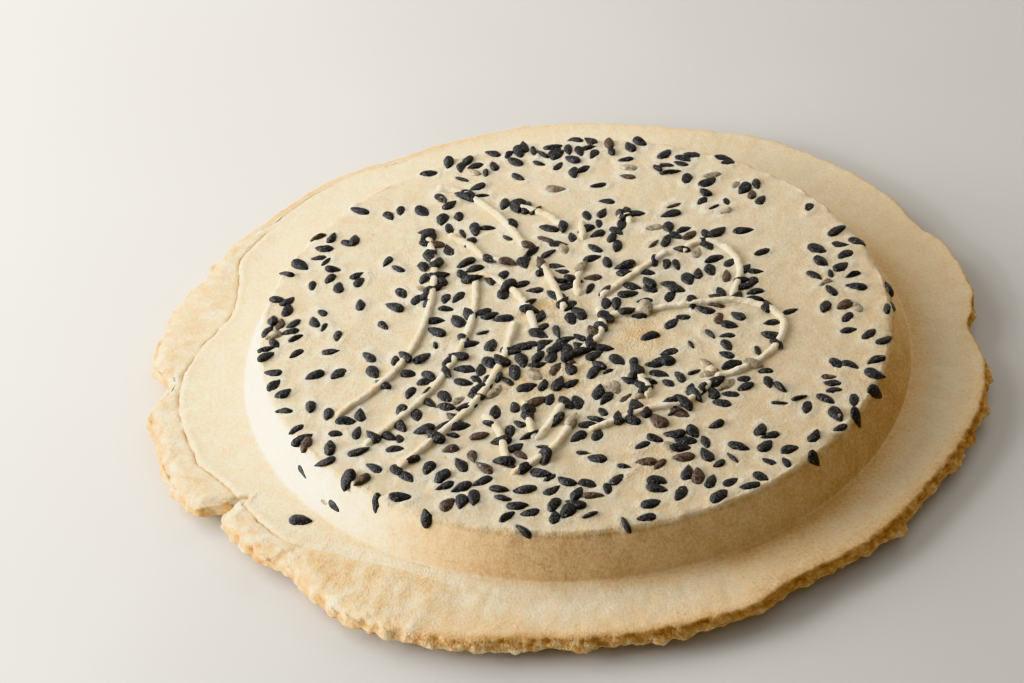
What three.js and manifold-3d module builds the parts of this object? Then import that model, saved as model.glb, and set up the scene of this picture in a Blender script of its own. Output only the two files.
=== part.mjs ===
// A round wheat cracker of the kind baked in a hinged iron mould: a thick disc with a moulded
// crest and sesame on its face, and round it the thin rim of dough squeezed out of the mould.
// Millimetres, +Z up. The origin is the centre of the flat underside, and -Y is the front.
import * as THREE from 'three';
import { ConvexGeometry } from 'three/addons/geometries/ConvexGeometry.js';
import { mergeVertices } from 'three/addons/utils/BufferGeometryUtils.js';
import Module from 'manifold-3d';

const wasm = await Module();
wasm.setup();

const DOUGH_COLOUR = 0xe3cda3;
const DOUGH_ROUGHNESS = 0.85;

// ---------------------------------------------------------------- driving dimensions

// The disc.
const FACE_R = 45;
const FACE_ABOVE_RIM = 6.2;
const EDGE_ROUND = 1.2;
const WALL_FLARE = 2.6;
const FOOT_ROUND = 0.8;

// The rim, and the shallow step under the disc that the cracker rests on.
const RIM_T = 2;
const STEP_H = 1.5;
const STEP_R = 44;
const STEP_FLARE = 1.5;

const RIM_BOTTOM = STEP_H;
const RIM_TOP = RIM_BOTTOM + RIM_T;
const FACE_Z = RIM_TOP + FACE_ABOVE_RIM;
const FOOT_R = FACE_R + WALL_FLARE;

// Rim edge: [angle in degrees, radius as a share of FACE_R], counter-clockwise from +X.
const OUTLINE = [
  [0, 1.25], [8, 1.3], [20, 1.315], [25, 1.29], [37, 1.32], [57, 1.325], [72, 1.285],
  [95, 1.3], [115, 1.285], [128, 1.32], [140, 1.315], [148, 1.34], [155, 1.33],
  [163, 1.36], [175, 1.365], [180.5, 1.31], [187, 1.36], [204, 1.35], [208, 1.325],
  [210, 1.23], [212, 1.285], [218, 1.295], [226, 1.265], [231, 1.305], [241, 1.33],
  [253, 1.315], [261, 1.285], [279, 1.28], [290, 1.28], [299, 1.24], [311, 1.255],
  [323, 1.25], [333, 1.265], [345, 1.285], [352, 1.285],
];

// The mould's own edge, where it cut into the dough, in the same measures. The dough outside
// it swelled freely into a lip. It fades out at the second and the last but one angle, and
// the even circle beyond them marks nothing.
const CREASE = [
  [90, 1.17], [138, 1.27], [150, 1.265], [157, 1.2], [164, 1.165], [175, 1.235], [183, 1.27],
  [199, 1.255], [207, 1.21], [220, 1.205], [230, 1.14], [242, 1.1], [254, 1.12], [300, 1.17],
];
const LIP_FROM = [138, 150];
const LIP_TO = [254, 242];
const LIP_SWELL = 0.55;
const CREASE_W = 0.8;
const CREASE_DEPTH = 0.45;
const NARROWEST_LIP = 2.4;

// The torn edge of the rim. Along the front the dough broke off at a slant, so that the lower
// edge stands out there, with deeper crags.
const EDGE_BEVEL = 0.45;
const EDGE_DROP = 0.1;
const TEAR_BULGE = 0.35;
const TEAR_BULGE_AT = 0.55;
const TEAR_UNDERCUT = 0.2;
const TEAR_DEPTH = 0.34;
const TEAR_WAVES = [17, 29, 43, 67];
const SLANT = 0.75;
const SLANT_FROM = [226, 246];
const SLANT_TO = [358, 344];

// The rim's slow rise and fall, which grows from the disc to the edge.
const SWAY = 0.16;
const SWAY_WAVES = [3, 5, 8];
const SWAY_FULL_R = 58;

// The moulded crest: raised lines on the face, in millimetres from its centre.
const RIDGE_W = 1.1;
const RIDGE_TOP_W = 0.5;
const RIDGE_H = 0.55;
const RIDGE_STEP = 3.6;
const STREAM = [
  [[-20.8, 22.5], [-19.8, 14], [-21.3, 1], [-25.5, -9.5], [-33.4, -18.3]],
  [[-13.8, 11.8], [-14.2, 3], [-16.5, -6], [-21, -15], [-29.4, -24.8]],
  [[-8.4, 0], [-10.4, -8.5], [-14.5, -17.5], [-24.8, -30]],
  [[4.5, 0], [15.5, 1.4], [24.5, 1.3], [29.3, -3], [27.6, -9.5], [22.6, -13.8], [18.8, -15.2]],
  [[18.3, -16.2], [14.5, -20], [9.5, -21], [1, -24.6]],
  [[3.6, 2], [4, -2], [3, -5], [-0.6, -8.3]],
];
const PETALS = [
  [[-19.5, 33.8], [-16.5, 33], [-10.3, 26], [-6.3, 17.8]],
  [[-7.2, 27.8], [-2.8, 25], [-0.8, 22.3]],
  [[-17.7, 21.9], [-14.1, 18.3], [-12.4, 15.2]],
  [[-13.2, 11.9], [-10.7, 10.2], [-7.1, 4.9], [-5.4, -2.4]],
  [[-11.5, 15], [-9.3, 14.5]],
  [[-4.4, 14], [-2.8, 9], [-1.2, 2]],
  [[2.1, 23], [2.1, 18.6]],
  [[1.5, 12.4], [0.7, 6.6], [1.3, 5.2]],
  [[4, 4.6], [9.5, 9.7], [14.2, 14.2]],
  [[16.6, 13.8], [17.6, 15.4], [20, 16], [23, 14], [24.4, 9], [22.7, 2.6]],
  [[8.6, 24.3], [9.5, 22]],
];
const LEAVES = [
  [[8.1, -12.8], [9.5, -16], [9.3, -18.5]],
  [[17.9, -12.4], [18.9, -14.3]],
  [[-13.2, -20], [-11.3, -23], [-10.2, -29.8]],
  [[-0.6, -21.2], [-2.9, -26.2], [-5, -29], [-9.6, -32.5]],
  [[-7.6, -17.6], [-6.4, -25.6]],
  [[-2.2, -18.6], [-3.8, -22], [-6.2, -25.8]],
];

// One sesame seed, as shares of its length: its breadth, how much it narrows to its tip, how
// far it stands over the dough and reaches into it, and its flattened top.
const SEED_BREADTH = 0.53;
const SEED_TAPER = 0.42;
const SEED_RISE = 0.19;
const SEED_SINK = 0.12;
const SEED_TOP = 0.6;
const SEED_CORNERS = 8;
const SEED_TOP_CORNERS = 4;

// The sesame: ALL_SEEDS were strewn, and the largest FUSED_SEEDS of them are in the solid.
const ALL_SEEDS = 500;
const FUSED_SEEDS = 240;
const LONGEST_SEED = 3.3;
const SHORTEST_SEED = 2.4;
const SEED_MARGIN = 0.6;

// Seeds off the face: [angle, radius, heading from outwards in degrees, length].
const STRAY_SEEDS = [[219.8, 50.1, 130, 3.1]];

// Where the sesame fell thick and where it left the dough bare: [x, y, spread, weight], the
// first three in millimetres. A ring of the face is a little thinner all round.
const PATCHES = [
  [-2.5, -5.5, 5, 1.2], [-11.5, -11.5, 5, 0.8], [5, -17.5, 5, 0.55], [13.5, -30.5, 5, 0.7],
  [20, -41, 3.5, 0.6], [-4.5, 41.5, 4.5, 0.8], [17.5, 36.5, 3.5, 0.7], [-42, 1.5, 3, 0.9],
  [-19.5, 14, 3.5, 0.8], [38.5, 7.5, 3.5, 0.9], [7.5, 4.5, 4.5, 0.5], [-5, 11, 5, 0.4],
  [26.5, 27, 3.5, 0.6], [-38, 18, 5, 0.22], [-19, 29, 4, 0.2], [22.5, 4, 3.5, 0.5],
  [20, -15, 4.5, 0.4], [-24, -22.5, 5, 0.35], [-16, -34, 5, 0.32], [39, -21, 4, 0.55],
  [14.5, 12, 4.5, 0.4], [-3, -38, 4.5, 0.32], [4.5, 21, 4, 0.3], [-8, -19, 5, 0.2],
  [-16, 0, 4, 0.2],
];
const CLEARINGS = [
  [-27, 24, 4.5, 0.4], [-27, 11, 4, 0.2], [-28, 0, 4, 0.2], [0, 31, 5, 0.3], [12, 30, 4, 0.2],
  [31, 4, 4, 0.3], [34, 20, 6, 0.5], [-27, 37, 6, 0.5], [-14, -26, 3.5, 0.25], [7, -4, 3, 0.5],
  [36, -9, 4, 0.2], [-34, -15, 5, 0.15], [-30, -34, 4, 0.2], [30, 33, 4, 0.3],
  [-38, 28, 4, 0.2], [29, -14, 4, 0.15],
];
const THIN_RING = { radius: 31, spread: 5, weight: 0.06 };
const BASE_DENSITY = 0.2;
const LEAST_DENSITY = 0.03;
const FULL_DENSITY = 1.15;

// How a seed finds room beside the others: it is three circles, each [place along the seed,
// radius] in shares of its length, and takes the best of a few headings.
const FOOTPRINT = [[-0.2, 0.29], [0.08, 0.27], [0.32, 0.15]];
const HEADINGS = 4;
const LARGEST_LAP = 0.35;
const NEIGHBOUR_REACH = 4;

// Facets round the disc and round the torn rim, and the shortest edge that is kept.
const DISC_FACETS = 80;
const RIM_FACETS = 240;
const SHORTEST_EDGE = 0.004;

// The seeds of the random draws.
const DRAWS = { upperTear: 3, middleTear: 11, lowerTear: 19, sway: 5, sesame: 25 };

// ---------------------------------------------------------------- numbers

const radians = THREE.MathUtils.degToRad;

// A small seeded generator, so that the cracker comes out the same each time.
function generator(seed) {
  let state = seed;
  return () => {
    state = (Math.imul(state, 1664525) + 1013904223) >>> 0;
    return state / 4294967296;
  };
}

// Rises smoothly from 0 to 1 as the value goes from one end to the other.
function ramp([from, to], value) {
  const t = Math.min(Math.max((value - from) / (to - from), 0), 1);
  return t * t * (3 - 2 * t);
}

// The value at an angle of the smooth closed curve through points [angle, value]. Its slopes
// are limited, so that a notch stays between its own points.
function closedCurve(points, angle) {
  const count = points.length;
  const turn = (k) => points[(k + count) % count][0] + 360 * Math.floor(k / count);
  const value = (k) => points[(k + count) % count][1];
  const chord = (k) => (value(k + 1) - value(k)) / (turn(k + 1) - turn(k));
  const slope = (k) => {
    const before = chord(k - 1);
    const after = chord(k);
    return before * after <= 0 ? 0 : (2 * before * after) / (before + after);
  };
  const k = points.findLastIndex(([at]) => at <= angle);
  const span = turn(k + 1) - turn(k);
  const t = (angle - turn(k)) / span;
  const far = t * t * (3 - 2 * t);
  const leaving = t * (1 - t) * (1 - t) * span * slope(k);
  const arriving = t * t * (t - 1) * span * slope(k + 1);
  return value(k) * (1 - far) + value(k + 1) * far + leaving + arriving;
}

// A seeded sum of waves round the cracker, within -1 and 1.
function waves(counts, seed) {
  const draw = generator(seed);
  const parts = counts.map((count) => ({ count, phase: 2 * Math.PI * draw(), size: 0.5 + 0.5 * draw() }));
  const total = parts.reduce((sum, { size }) => sum + size, 0);
  return (angle) => {
    const height = ({ count, phase, size }) => size * Math.sin(count * radians(angle) + phase);
    return parts.reduce((sum, part) => sum + height(part), 0) / total;
  };
}

// ---------------------------------------------------------------- solids

// A closed three.js geometry as a solid.
function solid(geometry) {
  geometry.deleteAttribute('normal');
  geometry.deleteAttribute('uv');
  const merged = mergeVertices(geometry);
  const mesh = new wasm.Mesh({
    numProp: 3,
    vertProperties: merged.getAttribute('position').array,
    triVerts: new Uint32Array(merged.index.array),
  });
  return new wasm.Manifold(mesh);
}

// A solid as a three.js geometry with flat facets.
function faceted(made) {
  const { vertProperties, triVerts } = made.getMesh();
  const geometry = new THREE.BufferGeometry();
  geometry.setAttribute('position', new THREE.BufferAttribute(vertProperties, 3));
  geometry.setIndex(new THREE.BufferAttribute(triVerts, 1));
  const flat = geometry.toNonIndexed();
  flat.computeVertexNormals();
  return flat;
}

// Points round the axis, where place gives [radius, height] at an angle.
function ring(facets, place) {
  return Array.from({ length: facets }, (_, k) => {
    const angle = (360 * k) / facets;
    const [r, z] = place(angle);
    return new THREE.Vector3(r * Math.cos(radians(angle)), r * Math.sin(radians(angle)), z);
  });
}

// The triangles between two rings, which may differ in their facets. The second is further
// along on the way from the middle of the face round the edge to the underside.
function band(first, second) {
  const corners = [];
  const at = (points, k) => points[k % points.length];
  let i = 0;
  let j = 0;
  while (i < first.length || j < second.length) {
    corners.push(at(first, i), at(second, j));
    if ((i + 0.5) / first.length < (j + 0.5) / second.length) {
      i += 1;
      corners.push(at(first, i));
    } else {
      j += 1;
      corners.push(at(second, j));
    }
  }
  return corners;
}

// ---------------------------------------------------------------- dough

const upperTear = waves(TEAR_WAVES, DRAWS.upperTear);
const middleTear = waves(TEAR_WAVES, DRAWS.middleTear);
const lowerTear = waves(TEAR_WAVES, DRAWS.lowerTear);
const swayWaves = waves(SWAY_WAVES, DRAWS.sway);

const edgeRadius = (angle) => FACE_R * closedCurve(OUTLINE, angle);
const lipShare = (angle) => ramp(LIP_FROM, angle) * ramp(LIP_TO, angle);
const slantShare = (angle) => ramp(SLANT_FROM, angle) * ramp(SLANT_TO, angle);
const tear = (wave, angle) => TEAR_DEPTH * (1 + slantShare(angle)) * wave(angle);
const sway = (angle, r) => SWAY * swayWaves(angle) * ramp([FOOT_R, SWAY_FULL_R], r);

function creaseRadius(angle) {
  return Math.min(FACE_R * closedCurve(CREASE, angle), edgeRadius(angle) - NARROWEST_LIP);
}

// A ring of the rim, its height over the level measured before the rim's sway.
function rimRing(level, radiusAt, heightAt) {
  return ring(RIM_FACETS, (angle) => {
    const r = radiusAt(angle);
    return [r, level + heightAt(angle) + sway(angle, r)];
  });
}

// The face's rounded edge, the wall and its foot.
function discRings() {
  const edge = [0, 0.5, 1].map((share) => {
    const turn = (share * Math.PI) / 2;
    return [FACE_R - EDGE_ROUND * (1 - Math.sin(turn)), FACE_Z - EDGE_ROUND * (1 - Math.cos(turn))];
  });
  const foot = [
    [FOOT_R - (WALL_FLARE * FOOT_ROUND) / FACE_ABOVE_RIM, RIM_TOP + FOOT_ROUND],
    [FOOT_R + FOOT_ROUND, RIM_TOP],
  ];
  return [...edge, ...foot].map((point) => ring(DISC_FACETS, () => point));
}

// The crease, the swollen lip outside it, and the torn edge.
function rimRings() {
  return [
    rimRing(RIM_TOP, (a) => creaseRadius(a) - CREASE_W / 2, () => 0),
    rimRing(RIM_TOP, creaseRadius, (a) => -CREASE_DEPTH * lipShare(a)),
    rimRing(RIM_TOP, (a) => creaseRadius(a) + CREASE_W, (a) => LIP_SWELL * lipShare(a)),
    rimRing(
      RIM_TOP,
      (a) => edgeRadius(a) - EDGE_BEVEL + (TEAR_DEPTH * upperTear(a)) / 2,
      (a) => -EDGE_DROP * (1 - lipShare(a)),
    ),
    rimRing(
      RIM_BOTTOM,
      (a) => edgeRadius(a) + TEAR_BULGE + (SLANT * slantShare(a)) / 2 + tear(middleTear, a),
      () => TEAR_BULGE_AT * RIM_T,
    ),
    rimRing(
      RIM_BOTTOM,
      (a) => edgeRadius(a) - TEAR_UNDERCUT + SLANT * slantShare(a) + tear(lowerTear, a),
      () => 0,
    ),
  ];
}

function stepRings() {
  const profile = [
    [STEP_R + STEP_FLARE, RIM_BOTTOM],
    [STEP_R, 0],
  ];
  return profile.map((point) => ring(DISC_FACETS, () => point));
}

function dough() {
  const rings = [...discRings(), ...rimRings(), ...stepRings()];
  const face = new THREE.Vector3(0, 0, FACE_Z);
  const underside = new THREE.Vector3(0, 0, 0);
  const first = rings[0];
  const last = rings[rings.length - 1];
  const corners = [
    ...first.flatMap((point, k) => [face, point, first[(k + 1) % first.length]]),
    ...rings.slice(1).flatMap((next, k) => band(rings[k], next)),
    ...last.flatMap((point, k) => [underside, last[(k + 1) % last.length], point]),
  ];
  return solid(new THREE.BufferGeometry().setFromPoints(corners));
}

// ---------------------------------------------------------------- crest

// One raised line, swept along its curve. It is widest in the face, and its lower half is
// sunk in the dough.
function ridge(points) {
  const curve = new THREE.CatmullRomCurve3(points.map(([x, y]) => new THREE.Vector3(x, y, FACE_Z)));
  const side = RIDGE_W / 2;
  const shoulder = RIDGE_TOP_W / 2;
  const section = [
    [0, -side], [RIDGE_H, -shoulder], [RIDGE_H, shoulder],
    [0, side], [-RIDGE_H, shoulder], [-RIDGE_H, -shoulder],
  ];
  const shape = new THREE.Shape(section.map(([x, y]) => new THREE.Vector2(x, y)));
  const steps = Math.ceil(curve.getLength() / RIDGE_STEP);
  return solid(new THREE.ExtrudeGeometry(shape, { steps, extrudePath: curve, bevelEnabled: false }));
}

// ---------------------------------------------------------------- sesame

// How thick the sesame fell at a place on the face.
function density(x, y) {
  const bump = ([px, py, spread, weight]) =>
    weight * Math.exp(-((x - px) ** 2 + (y - py) ** 2) / spread ** 2);
  const total = (places) => places.reduce((sum, place) => sum + bump(place), 0);
  const { radius, spread, weight } = THIN_RING;
  const ringed = weight * Math.exp(-(((Math.hypot(x, y) - radius) / spread) ** 2));
  return Math.max(BASE_DENSITY - ringed + total(PATCHES) - total(CLEARINGS), LEAST_DENSITY);
}

function footprint({ x, y, heading, length }) {
  return FOOTPRINT.map(([along, radius]) => [
    x + along * length * Math.cos(heading),
    y + along * length * Math.sin(heading),
    radius * length,
  ]);
}

// The least gap between the circles of two lists, or 1 if all are further apart.
function clearance(some, others) {
  let least = 1;
  for (const [x, y, r] of some) {
    for (const [u, v, s] of others) {
      least = Math.min(least, Math.hypot(x - u, y - v) - r - s);
    }
  }
  return least;
}

// The first seeds strewn on the face, the longest first. Each takes the heading that keeps it
// clearest of its neighbours, and is dropped where it would still lie over one.
function strewn(count) {
  const draw = generator(DRAWS.sesame);
  const seeds = [];
  while (seeds.length < count) {
    const length = LONGEST_SEED + ((SHORTEST_SEED - LONGEST_SEED) * seeds.length) / ALL_SEEDS;
    const r = (FACE_R - SEED_MARGIN) * Math.sqrt(draw());
    const angle = 2 * Math.PI * draw();
    const x = r * Math.cos(angle);
    const y = r * Math.sin(angle);
    if (draw() > density(x, y) / FULL_DENSITY) continue;
    const near = (seed) =>
      Math.abs(seed.x - x) < NEIGHBOUR_REACH && Math.abs(seed.y - y) < NEIGHBOUR_REACH;
    const taken = seeds.filter(near).flatMap(footprint);
    let best = null;
    let room = -LARGEST_LAP;
    for (let k = 0; k < HEADINGS; k += 1) {
      const seed = { x, y, heading: 2 * Math.PI * draw(), length };
      const clear = clearance(footprint(seed), taken);
      if (clear > room) {
        best = seed;
        room = clear;
      }
    }
    if (best) seeds.push(best);
  }
  return seeds;
}

// A low tear drop with its tip towards +X, widest in the plane z = 0.
function seedShape(length) {
  const outline = (corners, turn, scale, z) =>
    Array.from({ length: corners }, (_, k) => {
      const t = (2 * Math.PI * (k + turn)) / corners;
      const along = Math.cos(t) / 2;
      const across = ((Math.sin(t) * SEED_BREADTH) / 2) * (1 - SEED_TAPER * Math.cos(t));
      return new THREE.Vector3(along * scale * length, across * scale * length, z);
    });
  return new ConvexGeometry([
    ...outline(SEED_CORNERS, 0, 1, 0),
    ...outline(SEED_TOP_CORNERS, 0.5, SEED_TOP, SEED_RISE * length),
    new THREE.Vector3(0, 0, -SEED_SINK * length),
  ]);
}

// A seed on the face lies along its slope, which turns down at the rounded edge.
function laidSeed({ x, y, heading, length }) {
  const angle = Math.atan2(y, x);
  const past = Math.max(Math.hypot(x, y) - (FACE_R - EDGE_ROUND), 0) / EDGE_ROUND;
  const lean = Math.asin(Math.min(past, 1));
  const shape = seedShape(length);
  shape.rotateZ(heading - angle);
  shape.rotateY(lean);
  shape.rotateZ(angle);
  shape.translate(x, y, FACE_Z - EDGE_ROUND * (1 - Math.cos(lean)));
  return solid(shape);
}

function straySeed([angle, r, heading, length]) {
  const shape = seedShape(length);
  shape.rotateZ(radians(angle + heading));
  shape.translate(r * Math.cos(radians(angle)), r * Math.sin(radians(angle)), RIM_TOP + sway(angle, r));
  return solid(shape);
}

// ---------------------------------------------------------------- cracker

function cracker() {
  const pieces = [
    ...[...STREAM, ...PETALS, ...LEAVES].map(ridge),
    ...strewn(FUSED_SEEDS).map(laidSeed),
    ...STRAY_SEEDS.map(straySeed),
  ];
  const whole = pieces.reduce((made, piece) => made.add(piece), dough());
  const material = new THREE.MeshStandardMaterial({
    color: DOUGH_COLOUR,
    roughness: DOUGH_ROUGHNESS,
    metalness: 0,
  });
  const mesh = new THREE.Mesh(faceted(whole.simplify(SHORTEST_EDGE)), material);
  mesh.name = 'cracker';
  return mesh;
}

const part = new THREE.Group();
part.name = 'sesame_cracker';
part.add(cracker());

export default part;
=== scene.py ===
import random
from math import atan2, cos, exp, hypot, pi, radians, sin, sqrt

import bpy
import numpy as np
from mathutils import Matrix, Vector, kdtree, noise


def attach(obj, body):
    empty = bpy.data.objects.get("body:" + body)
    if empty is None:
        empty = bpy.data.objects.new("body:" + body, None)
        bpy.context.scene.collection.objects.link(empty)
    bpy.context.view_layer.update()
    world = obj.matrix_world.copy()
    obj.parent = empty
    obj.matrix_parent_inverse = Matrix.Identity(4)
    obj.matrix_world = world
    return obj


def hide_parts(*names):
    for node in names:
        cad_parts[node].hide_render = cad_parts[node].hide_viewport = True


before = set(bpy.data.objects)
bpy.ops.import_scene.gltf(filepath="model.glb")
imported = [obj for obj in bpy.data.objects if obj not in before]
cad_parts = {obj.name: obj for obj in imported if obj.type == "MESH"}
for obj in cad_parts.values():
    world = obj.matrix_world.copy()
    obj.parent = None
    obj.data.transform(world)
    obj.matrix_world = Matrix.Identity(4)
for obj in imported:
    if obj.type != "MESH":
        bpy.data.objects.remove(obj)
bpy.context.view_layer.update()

MM = 0.001

# ---- dimensions of the solid

FACE_R = 45
FACE_ABOVE_RIM = 6.2
WALL_FLARE = 2.6
RIM_T = 2
STEP_H = 1.5
STEP_R = 44
STEP_FLARE = 1.5

RIM_BOTTOM = STEP_H
RIM_TOP = RIM_BOTTOM + RIM_T
FACE_Z = RIM_TOP + FACE_ABOVE_RIM
FOOT_R = FACE_R + WALL_FLARE
WALL_LEAN = atan2(FACE_ABOVE_RIM, WALL_FLARE)

# The rim's outline and the crease inside its lip: [angle, radius as a share of FACE_R].
OUTLINE = [
    [0, 1.25], [8, 1.3], [20, 1.315], [25, 1.29], [37, 1.32], [57, 1.325], [72, 1.285],
    [95, 1.3], [115, 1.285], [128, 1.32], [140, 1.315], [148, 1.34], [155, 1.33],
    [163, 1.36], [175, 1.365], [180.5, 1.31], [187, 1.36], [204, 1.35], [208, 1.325],
    [210, 1.23], [212, 1.285], [218, 1.295], [226, 1.265], [231, 1.305], [241, 1.33],
    [253, 1.315], [261, 1.285], [279, 1.28], [290, 1.28], [299, 1.24], [311, 1.255],
    [323, 1.25], [333, 1.265], [345, 1.285], [352, 1.285],
]
CREASE = [
    [90, 1.17], [138, 1.27], [150, 1.265], [157, 1.2], [164, 1.165], [175, 1.235], [183, 1.27],
    [199, 1.255], [207, 1.21], [220, 1.205], [230, 1.14], [242, 1.1], [254, 1.12], [300, 1.17],
]

# The stretches of the lip, of its crease and of where the edge broke at a slant: each grows from
# nothing to full from the first angle of a pair to the second.
LIP = ((138, 150), (254, 242))
CREASED = ((138, 150), (231, 221))
SLANTED = ((226, 246), (358, 344))
NARROWEST_LIP = 2.4

# How far the edge slants out, and how the rim sways up and down.
SLANT = 0.75
SWAY = 0.16
SWAY_WAVES = (3, 5, 8)
SWAY_FULL_R = 58

# The crest's raised lines through [x, y], from the middle of the face.
RIDGE_W = 1.1
STREAM = [
    [[-20.8, 22.5], [-19.8, 14], [-21.3, 1], [-25.5, -9.5], [-33.4, -18.3]],
    [[-13.8, 11.8], [-14.2, 3], [-16.5, -6], [-21, -15], [-29.4, -24.8]],
    [[-8.4, 0], [-10.4, -8.5], [-14.5, -17.5], [-24.8, -30]],
    [[4.5, 0], [15.5, 1.4], [24.5, 1.3], [29.3, -3], [27.6, -9.5], [22.6, -13.8], [18.8, -15.2]],
    [[18.3, -16.2], [14.5, -20], [9.5, -21], [1, -24.6]],
    [[3.6, 2], [4, -2], [3, -5], [-0.6, -8.3]],
]
PETALS = [
    [[-19.5, 33.8], [-16.5, 33], [-10.3, 26], [-6.3, 17.8]],
    [[-7.2, 27.8], [-2.8, 25], [-0.8, 22.3]],
    [[-17.7, 21.9], [-14.1, 18.3], [-12.4, 15.2]],
    [[-13.2, 11.9], [-10.7, 10.2], [-7.1, 4.9], [-5.4, -2.4]],
    [[-11.5, 15], [-9.3, 14.5]],
    [[-4.4, 14], [-2.8, 9], [-1.2, 2]],
    [[2.1, 23], [2.1, 18.6]],
    [[1.5, 12.4], [0.7, 6.6], [1.3, 5.2]],
    [[4, 4.6], [9.5, 9.7], [14.2, 14.2]],
    [[16.6, 13.8], [17.6, 15.4], [20, 16], [23, 14], [24.4, 9], [22.7, 2.6]],
    [[8.6, 24.3], [9.5, 22]],
]
LEAVES = [
    [[8.1, -12.8], [9.5, -16], [9.3, -18.5]],
    [[17.9, -12.4], [18.9, -14.3]],
    [[-13.2, -20], [-11.3, -23], [-10.2, -29.8]],
    [[-0.6, -21.2], [-2.9, -26.2], [-5, -29], [-9.6, -32.5]],
    [[-7.6, -17.6], [-6.4, -25.6]],
    [[-2.2, -18.6], [-3.8, -22], [-6.2, -25.8]],
]
CREST = [*STREAM, *PETALS, *LEAVES]

# The sesame, strewn as in the solid: [x, y, spread, weight] of where it fell thick or bare.
ALL_SEEDS = 500
LONGEST_SEED = 3.3
SHORTEST_SEED = 2.4
SEED_MARGIN = 0.6
PATCHES = [
    [-2.5, -5.5, 5, 1.2], [-11.5, -11.5, 5, 0.8], [5, -17.5, 5, 0.55], [13.5, -30.5, 5, 0.7],
    [20, -41, 3.5, 0.6], [-4.5, 41.5, 4.5, 0.8], [17.5, 36.5, 3.5, 0.7], [-42, 1.5, 3, 0.9],
    [-19.5, 14, 3.5, 0.8], [38.5, 7.5, 3.5, 0.9], [7.5, 4.5, 4.5, 0.5], [-5, 11, 5, 0.4],
    [26.5, 27, 3.5, 0.6], [-38, 18, 5, 0.22], [-19, 29, 4, 0.2], [22.5, 4, 3.5, 0.5],
    [20, -15, 4.5, 0.4], [-24, -22.5, 5, 0.35], [-16, -34, 5, 0.32], [39, -21, 4, 0.55],
    [14.5, 12, 4.5, 0.4], [-3, -38, 4.5, 0.32], [4.5, 21, 4, 0.3], [-8, -19, 5, 0.2],
    [-16, 0, 4, 0.2],
]
CLEARINGS = [
    [-27, 24, 4.5, 0.4], [-27, 11, 4, 0.2], [-28, 0, 4, 0.2], [0, 31, 5, 0.3], [12, 30, 4, 0.2],
    [31, 4, 4, 0.3], [34, 20, 6, 0.5], [-27, 37, 6, 0.5], [-14, -26, 3.5, 0.25], [7, -4, 3, 0.5],
    [36, -9, 4, 0.2], [-34, -15, 5, 0.15], [-30, -34, 4, 0.2], [30, 33, 4, 0.3],
    [-38, 28, 4, 0.2], [29, -14, 4, 0.15],
]
THIN_RING_R = 31
THIN_RING_SPREAD = 5
THIN_RING_WEIGHT = 0.06
BASE_DENSITY = 0.2
LEAST_DENSITY = 0.03
FULL_DENSITY = 1.15
FOOTPRINT = [[-0.2, 0.29], [0.08, 0.27], [0.32, 0.15]]
HEADINGS = 4
LARGEST_LAP = 0.35
CLOSE_BY = 4

DRAWS = {"tear": 19, "sway": 5, "sesame": 25, "seed forms": 7, "seed kinds": 4}

# ---- dough: shape

# Vertices round the axis, steps along the sections, and spacing across the flats.
RIM_POINTS = 1200
RIM_STEPS = [7, 3, 2, 2, 3, 7, 3, 2, 2, 3, 3, 2, 5, 1]
WALL_POINTS = 720
EDGE_STEPS = 5
WALL_STEPS = 11
FACE_SPACING = 0.55
UNDERSIDE_SPACING = 1.3

# Roundings, and the curve of the step under the rim as shares of its flare and its height.
EDGE_ROUND = 0.85
FOOT_CREASE = 0.35
STEP_CURVE = [[0.7, 0.72], [0.3, 0.2]]
STEP_FOOT = 0.4

# Noise comes in layers of [height, size of its spots, shift]. It only hollows the underside.
FACE_SWELL = [[0.1, 13, 3.7], [0.04, 5, 9.1]]
DOUGH_LUMPS = [[1, 4.2, 0], [0.7, 1.9, 4], [0.35, 1, 7]]
CRUMB_GRAIN = [[0.06, 0.8, 2]]
HOLLOWED = 3

# The crease inside the lip: its depth, and how it wanders and fades.
CREASE_DEPTH = 0.27
CREASE_WANDER = [[0.25, 2.4, 6], [0.15, 0.9, 7]]
CREASE_STRENGTH = 0.7
CREASE_FADING = [[1.1, 2.5, 9]]
CREASE_LIMITS = (0.1, 1.1)

# The lip: how high and how unevenly it is puffed up and where, how its edge is rounded off, for
# how many vertices either way it is looked for, its lobes and their pinches.
LIP_PUFF = 0.28
LIP_UNEVEN = [[0.6, 6, 1.5]]
PUFFED_PAST_CREASE = (0, 3.5)
PUFFED_FROM_EDGE = (0, 2)
LIP_ROUND = 1.4
LIP_DROP = 0.75
EDGE_WITHIN = 60
LOBES = [[1.3, 4.2, 31], [1.1, 2.2, 33]]
LOBES_IN = 0.5
PINCHES = [[0.16, 4.2, 31], [0.14, 2.2, 33]]
PINCH_SHARPNESS = 6

# The lip's blisters, which lie near its edge and are paler, and its browner patches.
BLISTER_H = 0.3
BLISTERS = [[1, 2.2, 61], [0.5, 1.2, 63]]
BLISTERS_IN = 0.25
BLISTERED = (3.2, 0.8)
BLISTERS_PALER = 0.3
LIP_PATCHES = [[0.14, 1.7, 41]]

# Cracks across the lip: [angle, start as a share of FACE_R, width, depth], and how they swing.
CRACKS = [
    [180.5, 1.25, 0.6, 0.25], [193.3, 1.32, 0.5, 0.35], [200.5, 1.32, 0.6, 0.45],
    [209.8, 1.17, 0.3, 1.3], [223.5, 1.235, 0.6, 0.6],
]
CRACK_SWING = 0.25
CRACK_TURNS = 1.7
CRACK_DEEPENS = (0, 1.5)

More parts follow.
